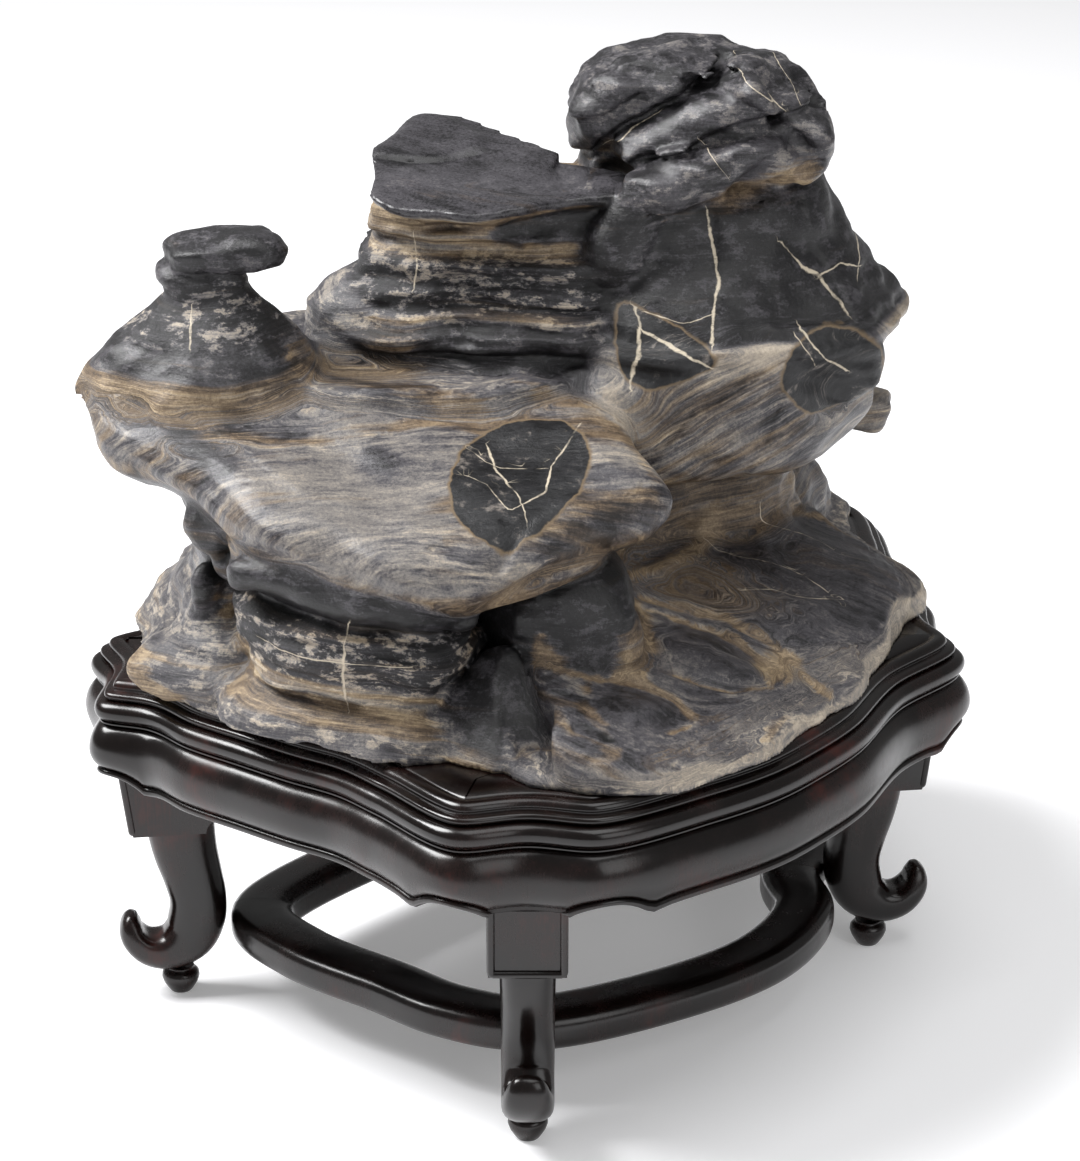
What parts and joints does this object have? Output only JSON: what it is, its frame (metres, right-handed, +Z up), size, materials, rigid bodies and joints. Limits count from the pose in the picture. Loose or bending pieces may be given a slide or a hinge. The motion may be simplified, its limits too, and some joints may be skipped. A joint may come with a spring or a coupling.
{
  "type": "scholars rock on stand",
  "caption": "Weathered banded limestone scholar's rock with overhanging tables and columns, resting on a lacquered hardwood stand.",
  "frame": {"origin": "middle of the whole footprint, on the floor the feet stand on", "axes": "+Z up, -Y towards the front corner leg, +X towards the right corner leg"},
  "size_m": [0.4822, 0.536, 0.5118],
  "materials": {
    "limestone": "worn satin, charcoal banded with ochre and white calcite veins",
    "lacquered_hardwood": "glossy dark red-brown lacquer"
  },
  "bodies": {
    "root": {"rock": "limestone", "top_board": "lacquered_hardwood", "lower_moulding": "lacquered_hardwood", "apron_front_right": "lacquered_hardwood", "apron_back_right": "lacquered_hardwood", "apron_back_left": "lacquered_hardwood", "apron_front_left": "lacquered_hardwood", "rail_front_right": "lacquered_hardwood", "rail_back_right": "lacquered_hardwood", "rail_back_left": "lacquered_hardwood", "rail_front_left": "lacquered_hardwood", "leg_front": "lacquered_hardwood", "leg_right": "lacquered_hardwood", "leg_back": "lacquered_hardwood", "leg_left": "lacquered_hardwood", "ball_foot_front": "lacquered_hardwood", "ball_foot_right": "lacquered_hardwood", "ball_foot_back": "lacquered_hardwood", "ball_foot_left": "lacquered_hardwood"}
  },
  "joints": []
}
